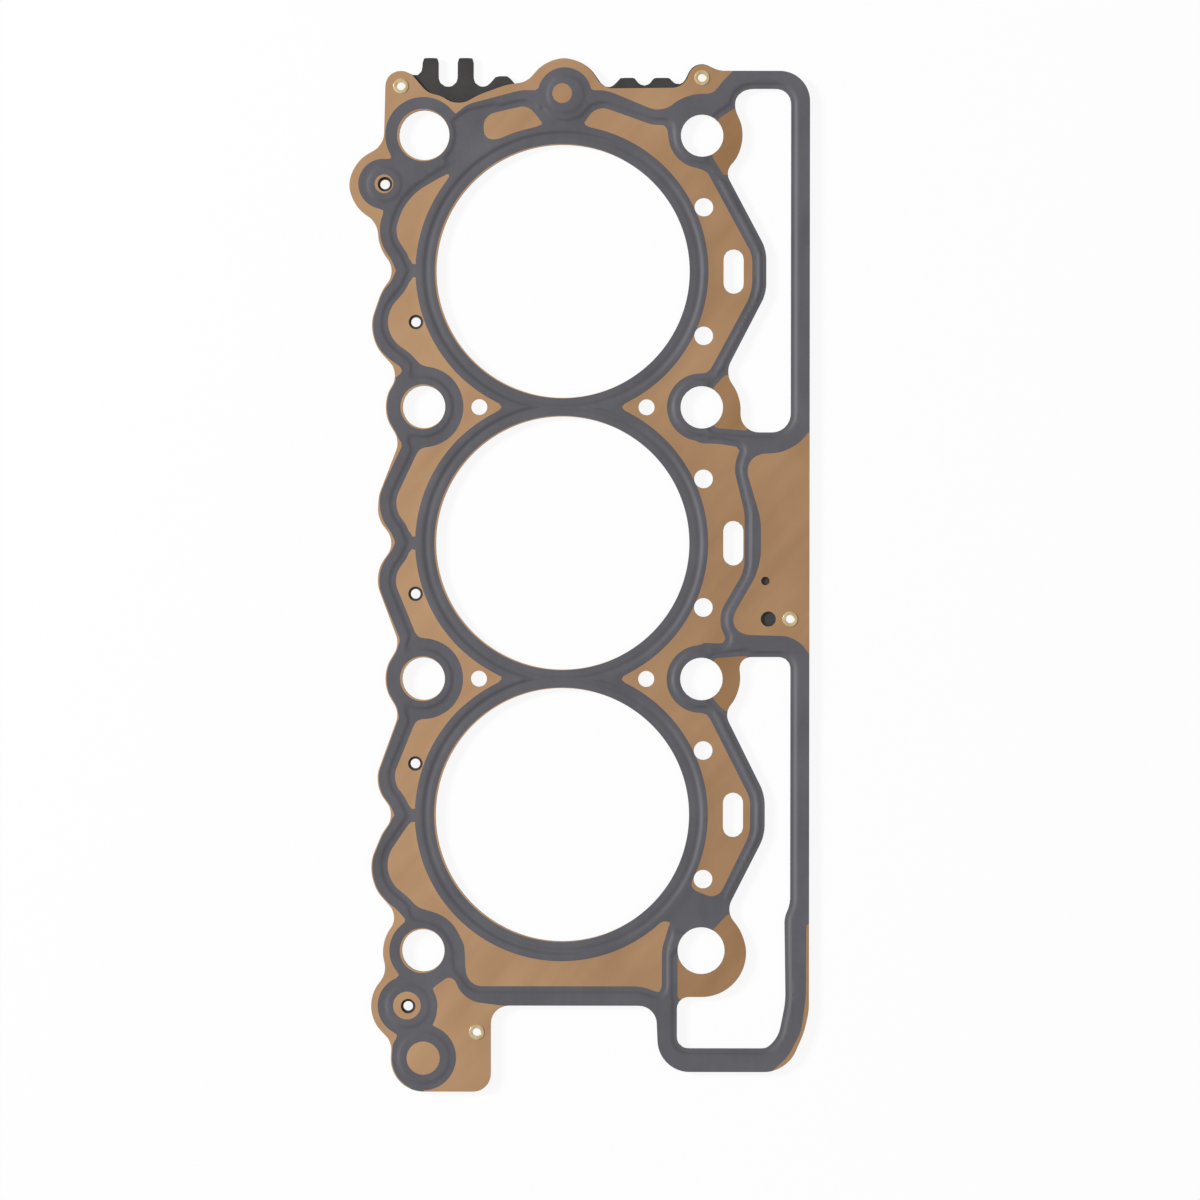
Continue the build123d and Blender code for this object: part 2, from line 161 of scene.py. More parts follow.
upperWindow = [
    *near((75.5, half), (0.0, 105.6, 5.0), (0.0, -8.3, 6.3)),
    *near(rightUpperBolt, (12.6, -8.3, 6.1), (13.0, 3.4, 13.2), (7.6, 11.3, 6.4)),
    *near(upperBore, (67.3, -7.2, 12.0), (67.3, 7.2, 12.0)),
    *near(topBolt, (7.6, -12.0, 4.2), (15.8, -2.3, 13.2), (7.7, 15.6, 6.2)),
]
lowerWindow = [
    *near(rightLowerBolt, (12.2, 7.3, 3.8)),
    *near((75.5, -half), (0.0, 7.3, 3.8), (0.0, -75.0, 10.0)),
    *near(legBolt, (27.6, 11.3, 8.0), (28.0, -17.0, 26.0), (25.6, -28.9, 9.0), (21.6, -32.4, 3.0)),
    *near(legBolt, (-8.0, -32.4, 3.8)),
    *near(legBolt, (-8.0, -15.3, 3.8), (14.9, -15.3, 14.9), (14.9, 4.5, 14.9), (8.2, 13.1, 5.8)),
    *near(lowerBore, (67.0, -6.8, 13.4), (67.0, 6.8, 13.4)),
    *near(rightLowerBolt, (7.6, -11.3, 4.8), (13.3, -3.9, 13.2)),
]

# brown fields left open in the grey print
islands = {
    "left": [
        *near(cornerBolt, (9.8, -11.3, 0.8)),
        *near(oilBoss, (7.1, -4.3, 17.0)),
        *near(upperBore, (-56.1, 12.2, 7.5), (-52.0, 6.4, 9.0)),
        *near(upperBore, (-49.3, 0.0, 0.4), (-52.2, -6.5, 10.8)),
        *near(upperMeter, (-14.5, -1.9, 10.5), (-2.4, -10.0, 11.6)),
        *near(leftUpperBolt, (-1.1, 14.2, 7.0), (-1.8, -14.2, 6.4)),
        *near(middleBore, (-56.6, 12.0, 8.1), (-52.2, 6.5, 6.7), (-49.4, 0.2, 0.4)),
        *near(middleBore, (-51.9, -5.5, 6.0), (-56.3, -11.5, 7.2)),
        *near(leftLowerBolt, (-2.4, 14.2, 6.6), (-2.7, -14.1, 7.6)),
        *near(lowerBore, (-56.6, 11.3, 7.1), (-52.4, 6.2, 8.7), (-49.2, -0.6, 0.4)),
        *near(lowerBore, (-61.6, -18.9, 10.7), (-50.9, -27.5, 14.0)),
        *near(footBolt, (-1.5, 13.7, 7.5), (12.8, 1.9, 0.0), (14.0, -6.2, 4.0), (14.9, -11.8, 5.2)),
        *near(legBolt, (-18.6, -11.8, 13.0), (-13.0, -14.8, 2.0)),
        *near(legBolt, (-13.0, 0.5, 12.0), (-10.4, 9.2, 1.2)),
        *near(lowerBore, (0.0, 0.0, 0.0)),
        *near(upperBore, (0.0, 0.0, 0.0)),
    ],
    "right": [
        *near(upperBore, (4.9, 46.6, 0.8), (11.2, 55.0, 5.2)),
        *near(topBolt, (-16.6, 3.5, 9.0), (-11.7, 3.4, 2.2), (1.5, -11.7, 5.8)),
        *near(upperBore, (62.7, 5.3, 8.1), (62.6, -7.0, 14.9)),
        *near(rightUpperBolt, (2.5, 11.8, 6.1), (0.0, -11.3, 0.0), (13.3, -13.3, 1.7)),
        *near(middleBore, (56.3, 26.2, 10.6), (60.2, 10.0, 12.0)),
        *near(middleBore, (60.2, -9.0, 12.0), (50.9, -25.0, 9.3)),
        *near(rightLowerBolt, (8.8, 12.0, 1.8), (1.2, 11.4, 0.0), (2.1, -11.7, 5.9)),
        *near(lowerBore, (62.2, 5.4, 8.8), (62.1, -6.2, 11.9)),
        *near(lowerBore, (51.4, -28.0, 4.0), (44.5, -25.3, 3.0)),
        *near(lowerBore, (0.0, 0.0, 0.0)),
        *near(upperBore, (0.0, 0.0, 0.0)),
    ],
    "small": [
        *near(upperBore, (-5.0, 47.0, 1.0), (-11.8, 55.0, 4.2), (-17.9, 53.6, 15.0)),
        *near(upperBore, (-26.6, 51.6, 4.5), (-26.2, 44.6, 3.0), (-20.0, 41.0, 0.0)),
    ],
}
rims = {
    "top": [
        *near(topEyelet, (10.3, 2.3, 0.0), (6.7, -1.3, 11.7), (3.7, -5.4, 4.0)),
        *near(topEyelet, (-5.0, -5.2, 14.5), (-13.4, -11.7, 7.2)),
        *near(topBoss, (19.4, -1.1, 0.0), (13.6, 1.3, 12.9), (6.7, 1.3, 0.0)),
        *near(topBoss, (-8.8, 1.3, 0.0), (-14.9, 1.3, 13.0)),
        *near(cornerBolt, (14.3, 10.2, 7.2), (9.6, 6.5, 0.0), (-0.5, 0.0, 0.0), (-14.0, 2.5, 0.0)),
        *near(leftEyelet, (-12.2, 13.8, 0.0)),
        *near(topEyelet, (10.3, 10.9, 0.0)),
    ],
    "rightPlate": [
        *near(rightUpperBolt, (44.0, -7.5, 0.0), (35.5, -8.0, 1.0)),
        *near(rightUpperBolt, (30.0, -14.9, 14.0), (13.2, -15.7, 6.2)),
        *near(middleBore, (65.6, 8.0, 20.0), (65.6, -8.0, 20.0)),
        *near(rightLowerBolt, (6.8, 14.8, 5.8), (31.4, 14.2, 9.4), (35.5, 8.4, 1.0), (44.0, 7.9, 0.0)),
    ],
    "footPlate": [
        *near(footEyelet, (10.3, 8.6, 0.0), (-4.3, 10.4, 9.0), (-8.1, 19.4, 2.5)),
        *near(footEyelet, (-15.7, 13.7, 2.0), (-11.7, 8.6, 10.8), (-14.6, 2.4, 2.7)),
        *near(footDisc, (0.0, 0.0, 0.0), (0.0, -14.6, 0.0)),
        *near(footEyelet, (10.3, -23.0, 0.0)),
    ],
    "legSide": [
        *near(legBolt, (34.8, 9.1, 0.6), (34.7, -15.0, 30.0), (33.2, -26.5, 10.0), (28.8, -35.0, 10.0)),
        *near(legBolt, (23.5, -39.8, 0.0), (40.0, -39.8, 0.0), (40.0, 9.1, 0.0)),
    ],
}
crescents = {
    "legBolt": [
        *near(legBolt, (-7.8, -2.0, 0.0), (-7.8, -16.0, 1.0), (0.0, -17.5, 0.0), (18.0, -17.5, 0.0)),
        *near(legBolt, (18.0, 7.0, 0.0), (9.1, 12.6, 1.2), (4.1, 7.1, 1.8)),
    ],
    "rightUpperBolt": [
        *near(rightUpperBolt, (8.1, 11.2, 1.0), (3.7, 6.4, 2.0), (3.5, -6.8, 2.0)),
        *near(rightUpperBolt, (14.8, -7.7, 0.0), (20.0, 0.0, 0.0)),
    ],
    "rightLowerBolt": [
        *near(rightLowerBolt, (8.1, -11.2, 1.0), (20.0, 0.0, 0.0), (14.8, 7.7, 0.0)),
        *near(rightLowerBolt, (3.5, 6.8, 2.0), (3.7, -6.4, 2.0)),
    ],
    "topBolt": [
        *near(topBolt, (7.0, -13.0, 0.0), (3.2, -6.8, 2.0), (5.1, 5.3, 2.5), (10.6, 9.0, 3.0)),
        *near(topBolt, (20.0, 11.0, 0.0), (20.0, -13.0, 0.0)),
    ],
}
# these flats between the islands are pressed down too
flats = {
    "corner": [
        *near(cornerBolt, (9.0, 4.6, 0.0), (11.5, 6.6, 2.0), (14.4, 8.4, 3.0), (24.0, 10.4, 0.0)),
        *near(cornerBolt, (24.0, -6.0, 0.0), (14.0, -14.0, 0.0), (8.0, -9.4, 0.0), (6.0, -7.4, 0.0)),
    ],
    "boss": [
        *near(topBoss, (-7.6, -4.0, 0.0), (-12.5, -8.0, 0.0), (-6.0, -14.0, 0.0)),
        *near(topBoss, (8.0, -14.0, 0.0), (12.5, -8.0, 0.0), (7.6, -4.0, 0.0)),
    ],
    "leg": [
        *near(legBolt, (-12.0, 12.0, 0.0), (-6.0, 24.0, 0.0), (7.0, 22.0, 0.0)),
        *near(legBolt, (9.5, 14.5, 0.0), (4.0, 6.5, 0.0), (-8.0, 6.0, 0.0)),
    ],
}


# a closed outline whose corners are each turned with their own radius
def sketch(corners, chord=0.7, spare=0.999):
    spots = [Vector((x, y, 0)) for x, y, _ in corners]
    count = len(spots)
    sides = [spots[(i + 1) % count] - spots[i] for i in range(count)]
    halves = [(-sides[i - 1]).angle(sides[i]) / 2 for i in range(count)]
    runs = [corners[i][2] / math.tan(halves[i]) for i in range(count)]
    needs = [max(runs[i] + runs[(i + 1) % count], tiny) for i in range(count)]
    rooms = [min(spare, side.length / need) for side, need in zip(sides, needs)]
    bm = bmesh.new()
    verts = [bm.verts.new(spot) for spot in spots]
    bm.faces.new(verts)
    for i, vert in enumerate(verts):
        run = runs[i] * min(rooms[i - 1], rooms[i]) * spare
        if run > 0:
            arc = run * math.tan(halves[i]) * (math.pi - 2 * halves[i])
            bmesh.ops.bevel(bm, geom=[vert], offset=run, offset_type="OFFSET", affect="VERTICES",
                            segments=max(2, math.ceil(arc / chord)), profile=0.5, material=-1)
    bm.faces.ensure_lookup_table()
    loop = np.array([vert.co[:2] for vert in bm.faces[0].verts])
    bm.free()
    return loop


def sketchAll(shapes):
    return [sketch(corners) for corners in shapes.values()]


# distances in the plan are below zero inside a shape
def toLoop(points, loop, batch=4000):
    step = np.roll(loop, -1, axis=0) - loop
    square = np.maximum((step ** 2).sum(1), tiny)
    rise = np.where(step[:, 1] == 0, 1, step[:, 1])
    result = np.empty(len(points))
    for first in range(0, len(points), batch):
        part = points[first:first + batch, None, :]
        gap = part - loop
        along = np.clip((gap * step).sum(2) / square, 0, 1)
        nearest = np.sqrt(((gap - along[..., None] * step) ** 2).sum(2).min(1))
        y = part[:, :, 1]
        crossed = ((loop[:, 1] <= y) != (loop[:, 1] + step[:, 1] <= y))
        crossed &= part[:, :, 0] < loop[:, 0] + (y - loop[:, 1]) * step[:, 0] / rise
        inside = crossed.sum(1) % 2 == 1
        result[first:first + batch] = np.where(inside, -nearest, nearest)
    return result


def toDisc(points, x, y, radius=0):
    return np.hypot(points[:, 0] - x, points[:, 1] - y) - radius


def toSlot(points, x, y, radius, reach):
    along = points[:, 1] - y
    return np.hypot(points[:, 0] - x, along - np.clip(along, -reach, reach)) - radius


def joined(*fields):
    return np.minimum.reduce(fields)


def shared(*fields):
    return np.maximum.reduce(fields)


def toLoops(points, loops):
    return joined(*[toLoop(points, loop) for loop in loops])


def toDiscs(points, discs):
    return joined(*[toDisc(points, *disc) for disc in discs])


# two fields meet in a rounded corner instead of a sharp one
def softShared(a, b, width):
    blend = np.maximum(width - np.abs(a - b), 0) / width
    return np.maximum(a, b) + blend ** 2 * width / 4


def ease(value, low, high):
    t = np.clip((value - low) / (high - low), 0, 1)
    return t * t * (3 - 2 * t)


islandLoops = sketchAll(islands)
rimLoops = sketchAll(rims)
crescentLoops = sketchAll(crescents)
flatLoops = sketchAll(flats)
windowLoops = [sketch(upperWindow), sketch(lowerWindow)]
printedLoop = sketch(printedOutline)
carrierLoop = sketch(carrierOutline)
print("outlines drawn")


# holes and discs are given by their place and radius
coolantX, coolantRise = engine["coolantSpot"]
bridgeX = engine["bridgeSpot"]
boreHoles = [(*spot, engine["boreRadius"]) for spot in bores]
boltHoles = [(*spot, engine["boltHole"]) for spot in bolts[1:7]]
boltHoles += [(*cornerBolt, engine["cornerDowelHole"]), (*legBolt, engine["legDowelHole"])]
smallHoles = [(coolantX, y + s * coolantRise, engine["coolantHole"]) for _, y in bores for s in (-1, 1)]
smallHoles += [(x, y, engine["bridgeHole"]) for x in (-bridgeX, bridgeX) for y in (-half, half)]
smallHoles += [(*spot, engine["eyeletHole"]) for spot in eyeletSpots.values()]


def sheetField(points, outline, holes):
    slots = [toSlot(points, engine["slotSpot"], y, engine["slotRadius"], engine["slotReach"])
             for _, y in bores]
    discs = toDiscs(points, boreHoles + boltHoles + holes)
    openings = joined(discs, toLoops(points, windowLoops), *slots)
    return shared(toLoop(points, outline), -openings)


def planPoints(verts):
    return np.array([vert.co[:2] for vert in verts])


# the height of each point is set to a field, so that a level plane cuts along it
def cutAlong(bm, field, levels, clear=False, snap=0.03):
    for level in levels:
        for vert, value in zip(bm.verts, field(planPoints(bm.verts))):
            vert.co.z = value
        bmesh.ops.bisect_plane(bm, geom=bm.verts[:] + bm.edges[:] + bm.faces[:], dist=snap,
                               plane_co=(0, 0, level), plane_no=(0, 0, 1), clear_outer=clear)
    for vert in bm.verts:
        vert.co.z = 0


# the grid is made finer where it crosses the edge of a small hole
def refine(bm, holes, band=1.1, cuts=3):
    middles = np.array([(edge.verts[0].co + edge.verts[1].co)[:2] for edge in bm.edges]) / 2
    close = joined(*[np.abs(toDisc(middles, *hole)) for hole in holes]) < band
    bmesh.ops.subdivide_edges(bm, edges=[edge for edge, fine in zip(bm.edges, close) if fine],
                              cuts=cuts, use_grid_fill=True)


# a flat sheet cut out of a fine grid, its edge points moved onto the true outline
def stampSheet(outline, holes, pitch, margin=2, passes=2, snap=1e-4, nudge=0.02):
    def field(points):
        return sheetField(points, outline, holes)

    low, high = (Vector(corner) / mm for corner in cadBounds)
    span = high - low + Vector((margin, margin, 0))
    place = Matrix.Translation(((low.x + high.x) / 2, (low.y + high.y) / 2, 0))
    bm = bmesh.new()
    bmesh.ops.create_grid(bm, x_segments=math.ceil(span.x / pitch), y_segments=math.ceil(span.y / pitch),
                          size=1, matrix=place @ Matrix.Diagonal((span.x / 2, span.y / 2, 1, 1)))
    refine(bm, holes)
    cutAlong(bm, field, [0], clear=True, snap=snap)
    edge = [vert for vert in bm.verts if vert.is_boundary]
    for _ in range(passes):
        spots = planPoints(edge)
        away = field(spots)
        slope = [field(spots + np.array(turn) * nudge) - away for turn in ((1, 0), (0, 1))]
        slope = np.stack(slope, axis=1) / np.maximum(np.hypot(*slope)[:, None], tiny)
        for vert, spot in zip(edge, spots - slope * away[:, None]):
            vert.co.x, vert.co.y = spot
    return bm


def addObject(name, data):
    holder = bpy.data.objects.new(name, data)
    bpy.context.scene.collection.objects.link(holder)
    return holder


def finishPiece(bm, name, materials, replaced, sharpAngle=35):
    bmesh.ops.recalc_face_normals(bm, faces=bm.faces[:])
    for face in bm.faces:
        face.smooth = True
    for edge in bm.edges:
        edge.smooth = edge.calc_face_angle(0) < math.radians(sharpAngle)
    bmesh.ops.scale(bm, vec=(mm, mm, mm), verts=bm.verts[:])
    print(name, sum(len(face.verts) - 2 for face in bm.faces), "triangles")
    mesh = bpy.data.meshes.new(name)
    bm.to_mesh(mesh)
    bm.free()
    for material in materials:
        mesh.materials.append(material)
    piece = addObject(name, mesh)
    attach(piece, "root")
    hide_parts(*replaced)


# finishes: an expression on wires adds its math nodes
class Wire:
    def __init__(self, tree, socket):
        self.tree = tree
        self.socket = socket

    def link(self, socket):
        self.tree.links.new(self.socket, socket)

    def math(self, operation, *values):
        node = self.tree.nodes.new("ShaderNodeMath")
        node.operation = operation
        for socket, value in zip(node.inputs, values):
            feed(socket, value)
        return Wire(self.tree, node.outputs[0])

    def __add__(self, other):
        return self.math("ADD", self, other)

    def __sub__(self, other):
        return self.math("SUBTRACT", self, other)

    def __rsub__(self, other):
        return self.math("SUBTRACT", other, self)

    def __mul__(self, other):
        return self.math("MULTIPLY", self, other)

    __radd__ = __add__
    __rmul__ = __mul__


def feed(socket, value):
    if isinstance(value, Wire):
        value.link(socket)
    else:
        socket.default_value = value


class Finish:
    def __init__(self, name):
        self.material = bpy.data.materials.new(name)
        self.material.use_nodes = True
        self.tree = self.material.node_tree

    # any node: its type, its settings, then the values or links of its sockets
    def node(self, kind, settings=None, sockets=None, out=0):
        node = self.tree.nodes.new("ShaderNode" + kind)
        for key, value in (settings or {}).items():
            setattr(node, key, value)
        for key, value in (sockets or {}).items():
            feed(node.inputs[key], value)
        return Wire(self.tree, node.outputs[out])

    def place(self):
        return self.node("TexCoord", out="Object")

    # the mask goes from 0 at one limit to 1 at the other
    def within(self, value, low, high):
        return self.node("MapRange", {"clamp": True}, {0: value, 1: low, 2: high})

    def noise(self, place, scale, detail, *limits):
        wire = self.node("TexNoise", None, {"Vector": place, "Scale": scale, "Detail": detail}, out="Fac")
        return self.within(wire, *limits) if limits else wire

    # sockets 6 and 7 and output 2 of a Mix node are its colours
    def blend(self, mask, first, second):
        return self.node("Mix", {"data_type": "RGBA"}, {0: mask, 6: first, 7: second}, out=2)

    # colour, roughness and bump go to the shader, its other sockets take the look's plain values
    def coat(self, look, colour, rough, relief):
        level, swing = look["roughness"]
        strength, depth = look["bump"]
        bump = {"Height": relief, "Strength": strength, "Distance": depth}
        sockets = {"Base Color": colour, "Roughness": rough * swing + level,
                   "Normal": self.node("Bump", None, bump), "Metallic": look["metallic"],
                   "Specular IOR Level": look["specular"]}
        for name, value in sockets.items():
            feed(self.tree.nodes["Principled BSDF"].inputs[name], value)
        return self.material


# each pattern has a scale, a detail and, where it is stretched, two limits
lacquerLook = {
    "light": (0.525, 0.318, 0.174, 1),
    "dark": (0.285, 0.146, 0.058, 1),
    "paintedFalloff": (-0.060, 0.085),  # painted shade, darker from left to right where less light falls
    "paintedFalloffShare": 0.34,
    "blotch": (26.0, 4.0, 0.35, 0.65),
    "blotchShare": 0.22,
    "streak": (1.0, 2.0, 0.3, 0.7),
    "streakSize": (0.007, 0.050, 0.050),
    "streakTurn": math.radians(-42),
    "streakShare": 0.20,
    "grain": (900.0, 2.0),
    "crescentDepth": 0.30,
    "roughness": (0.44, 0.08),
    "bump": (0.12, 0.00003),
    "metallic": 0.0,
    "specular": 0.35,
}


def brownLacquer(name, depth=0.0):
    finish = Finish(name)
    place = finish.place()
    # painted shade: the lacquer is darkened from left to right, standing in for the light falling off
    # across the gasket
    paintedFalloff = finish.within(finish.node("SeparateXYZ", None, {0: place}, out="X"), *lacquerLook["paintedFalloff"])
    blotches = finish.noise(place, *lacquerLook["blotch"])
    combed = finish.node("Mapping", {"vector_type": "TEXTURE"},
                         {"Vector": place, "Scale": lacquerLook["streakSize"],
                          "Rotation": (0, 0, lacquerLook["streakTurn"])})
    streaks = finish.noise(combed, *lacquerLook["streak"])
    shade = paintedFalloff * lacquerLook["paintedFalloffShare"] + blotches * lacquerLook["blotchShare"]
    shade = shade + streaks * lacquerLook["streakShare"] + depth
    colour = finish.blend(shade, lacquerLook["light"], lacquerLook["dark"])
    return finish.coat(lacquerLook, colour, blotches, finish.noise(place, *lacquerLook["grain"]))


sealLook = {
    "light": (0.142, 0.139, 0.157, 1),
    "dark": (0.084, 0.081, 0.092, 1),
    "cloud": (55.0, 3.0, 0.3, 0.7),
    "cloudShare": 0.4,
    "speck": (650.0, 3.0),
    "speckShare": 0.3,
    "streak": (1.0, 2.0),
    "streakScale": (420.0, 60.0, 60.0),
    "streakShare": 0.3,
    "paintedSlopeShading": 0.3,  # the slope at which the painted shade and painted highlight colours are full
    "paintedSlopeShade": (0.078, 0.076, 0.084, 1),
    "paintedSlopeHighlight": (0.178, 0.175, 0.192, 1),
    "roughness": (0.46, 0.16),
    "bump": (0.2, 0.00004),
    "metallic": 0.0,
    "specular": 0.4,
}


def greySealCoat():
    finish = Finish("greySealCoat")
    place = finish.place()
    clouds = finish.noise(place, *sealLook["cloud"])
    specks = finish.noise(place, *sealLook["speck"])
    combed = finish.node("Mapping", None, {"Vector": place, "Scale": sealLook["streakScale"]})
    streaks = finish.noise(combed, *sealLook["streak"])
    shade = clouds * sealLook["cloudShare"] + specks * sealLook["speckShare"]
    shade = shade + streaks * sealLook["streakShare"]
    colour = finish.blend(shade, sealLook["light"], sealLook["dark"])
    # painted shade and painted highlight on the slopes of the grey print, read from the slope attribute
    paintedSlopeShading = finish.node("Attribute", {"attribute_name": "paintedSlopeShading"}, out="Fac")
    colour = finish.blend(finish.within(paintedSlopeShading, 0.0, sealLook["paintedSlopeShading"]), colour, sealLook["paintedSlopeShade"])
    colour = finish.blend(finish.within(paintedSlopeShading, 0.0, -sealLook["paintedSlopeShading"]), colour, sealLook["paintedSlopeHighlight"])
    return finish.coat(sealLook, colour, specks, specks)


carrierLook = {
    "light": (0.066, 0.062, 0.061, 1),
    "dark": (0.032, 0.031, 0.030, 1),
    "cloud": (120.0, 3.0, 0.3, 0.7),
    "cloudShare": 0.6,
    "speck": (1100.0, 2.0),
    "speckShare": 0.4,
    "roughness": (0.38, 0.12),
    "bump": (0.25, 0.00003),
    "metallic": 0.0,
    "specular": 0.45,
}


def blackCoatedSteel():
    finish = Finish("blackCoatedSteel")
    place = finish.place()
    clouds = finish.noise(place, *carrierLook["cloud"])
    specks = finish.noise(place, *carrierLook["speck"])
    shade = clouds * carrierLook["cloudShare"] + specks * carrierLook["speckShare"]
    colour = finish.blend(shade, carrierLook["light"], carrierLook["dark"])
    return finish.coat(carrierLook, colour, clouds, specks)


brassLook = {
    "light": (0.92, 0.78, 0.48, 1),
    "dark": (0.68, 0.50, 0.23, 1),
    "wear": (500.0, 3.0, 0.35, 0.65),
    "roughness": (0.45, -0.15),  # smoother where it is polished
    "bump": (0.1, 0.00003),
    "metallic": 0.5,
    "specular": 0.5,
}


def eyeletBrass():
    finish = Finish("eyeletBrass")
    wear = finish.noise(finish.place(), *brassLook["wear"])
    polish = 1 - wear
    colour = finish.blend(polish, brassLook["dark"], brassLook["light"])
    return finish.coat(brassLook, colour, polish, wear)


# the pressed and printed sheet, in millimetres
printed = {
    "pitch": 1.1,
    "thickness": 0.25,
    "printShift": -0.35,
    "boreTrack": 48.5,
    "boltTracks": (12.6, 13.4, 13.4, 13.2, 10.8, 11.2, 11.2),  # at every bolt but the last
    "bossTracks": [
        *near(oilBoss, (-0.2, 0.1, 8.3)),
        *near(topBoss, (0.0, 0.0, 8.9)),
        *near(footMeter, (0.15, 0.1, 9.9)),
        *near(footDisc, (0.35, 0.0, 10.9)),
    ],
    "bossDots": [
        *near(topBoss, (-0.85, 0.3, 3.3)),
        *near(footDisc, (0.35, -0.2, 5.5)),
        *near(footMeter, (-0.05, 0.2, 4.6)),
        *near(oilBoss, (0.0, 0.1, 3.1)),
    ],
    "bossSteps": [
        *near(topBoss, (0.0, 0.0, 6.1)),
        *near(footDisc, (0.2, -0.1, 8.45)),
        *near(oilBoss, (-0.2, 0.0, 5.6)),
        *near(footMeter, (-0.1, 0.1, 7.1)),
    ],
    "cornerTrack": 12.6,
    "tipRound": 2.8,
    "outerTrack": 5.5,
    "edgeTracks": (12.6, 13.2, 13.2, 10.9),  # at the four left bolts
    "edgeRound": 1.8,
    "edgeRim": 0.35,
    "edgeEnd": -50.0,  # the thin edge rim is left of this
    "rimReach": 7.0,
    "holeRim": 0.4,
    "boreRim": 0.2,
    "rimHeight": 0.05,
    "islandDrop": 0.17,
    "beadLine": 2.0,
    "windowLine": 1.6,
    "stepWidth": 0.6,
    "boltWiden": (0.5, 1.6, 1.6, 1.9),  # the line runs wider at the four left bolts
    "boltReach": (11.0, 16.0),
    "flatLands": near(cornerBolt, (0.0, 0.0, 10.1)) + near(topBoss, (0.0, 0.0, 8.7)),
    "bossLift": 0.13,
    "boreLift": 0.14,
    "boreSlope": 51.0,  # the radius at which that lift ends
    "boreLand": 0.16,
    "beadFloor": 0.25,
    "beadRadii": (43.9, 45.3, 46.8),
    "beadCuts": (44.3, 44.8, 45.7, 46.05, 46.4),
}
boltTracks = [(*spot, radius) for spot, radius in zip(bolts, printed["boltTracks"])]
edgeTracks = [(*spot, radius) for spot, radius in zip(bolts, printed["edgeTracks"])]
boreTracks = [(*spot, printed["boreTrack"]) for spot in bores]


# the print lies a little to the left of the holes
def toPrint(points, *discs):
    return joined(*[toDisc(points, x + printed["printShift"], y, radius) for x, y, radius in discs])


# islands between the seal tracks
def islandField(points):
    field = toLoops(points, islandLoops)
    for disc in boreTracks + boltTracks:
        field = softShared(field, -toPrint(points, disc), printed["tipRound"])
    return field


def crescentField(points):
    return toLoops(points, crescentLoops)


def lacquerField(points):
    island = islandField(points)
    grey = toPrint(points, *printed["bossTracks"], (*cornerBolt, printed["cornerTrack"]))
    rim = shared(toLoops(points, rimLoops), -grey)
    inset = -toLoop(points, printedLoop)
    edge = shared(printed["outerTrack"] - island, inset - printed["rimReach"])
    for disc in printed["bossTracks"] + edgeTracks:
        edge = softShared(edge, -toPrint(points, disc), printed["edgeRound"])
    edge = shared(joined(edge, inset - printed["edgeRim"]), points[:, 0] - printed["edgeEnd"])
    holeRims = [(x, y, radius + printed["holeRim"]) for x, y, radius in boltHoles if x < 0]
    holeRims += [(x, y, radius + printed["boreRim"]) for x, y, radius in boreHoles]
    discs = toPrint(points, *holeRims, *printed["bossDots"])
    return joined(island, rim, edge, crescentField(points), discs)


def boreDistance(points):
    return toDiscs(points, bores)


def bossField(points):
    return toDiscs(points, printed["bossSteps"])


# how far inside the area that is pressed down a point lies
def pressedField(points):
    beads = joined(islandField(points), crescentField(points)) - printed["beadLine"]
    high = joined(beads, toLoops(points, windowLoops) - printed["windowLine"])
    for spot, wider in zip(bolts, printed["boltWiden"]):
        high = high - wider * (1 - ease(toDisc(points, *spot), *printed["boltReach"]))
    low = shared(toLoops(points, flatLoops), -toDiscs(points, printed["flatLands"]))
    return -joined(high, low, boreDistance(points) - printed["boreTrack"])


def reliefHeight(points):
    width = printed["stepWidth"]
    land = printed["boreLand"]
    floor = printed["beadFloor"]
    boreRise, floorRadius, outerRadius = printed["beadRadii"]
    apart = boreDistance(points)
    pressed = ease(pressedField(points), -width, width)
    outside = printed["rimHeight"] - (printed["rimHeight"] + printed["islandDrop"]) * pressed
    outside = outside + printed["bossLift"] * (1 - ease(bossField(points), -width, width))
    outside = outside + printed["boreLift"] * (1 - ease(apart, outerRadius, printed["boreSlope"]))
    inner = -land - (floor - land) * ease(apart, boreRise, floorRadius)
    outer = -floor + (outside + floor) * ease(apart, floorRadius, outerRadius)
    return np.where(apart < floorRadius, inner, outer)


def printedSheet():
    holes = smallHoles + [(*spot, engine["meterClear"]) for spot in meters] + blindHoles
    bm = stampSheet(printedLoop, holes, printed["pitch"])
    width = printed["stepWidth"]
    cutAlong(bm, lacquerField, [0])
    cutAlong(bm, boreDistance, sorted(printed["beadRadii"] + printed["beadCuts"]))
    cutAlong(bm, pressedField, [-width, 0, width])
    cutAlong(bm, bossField, [-width, 0, width])
    centres = np.array([face.calc_center_median()[:2] for face in bm.faces])
    for face, lacquer, crescent in zip(bm.faces, lacquerField(centres), crescentField(centres)):
        face.material_index = int(lacquer < 0) + int(crescent < 0)
    for vert, height in zip(bm.verts, reliefHeight(planPoints(bm.verts))):
        vert.co.z = sheetTop + height
    bm.normal_update()
    # painted highlight on slopes that face left, and painted shade on those that face along the gasket,
    # standing in for how the key light falls on them
    paintedSlopeShading = bm.verts.layers.float.new("paintedSlopeShading")
    for vert in bm.verts:
        vert[paintedSlopeShading] = abs(vert.normal.y) + min(vert.normal.x, 0)
    bmesh.ops.solidify(bm, geom=bm.faces[:], thickness=printed["thickness"])
    crescents = brownLacquer("crescentLacquer", lacquerLook["crescentDepth"])
    finishPiece(bm, "printedSheet", [greySealCoat(), brownLacquer("brownLacquer"), crescents],
                ["top_layer", "lacquer_fields"])


carrier = {
    "pitch": 1.3,
}


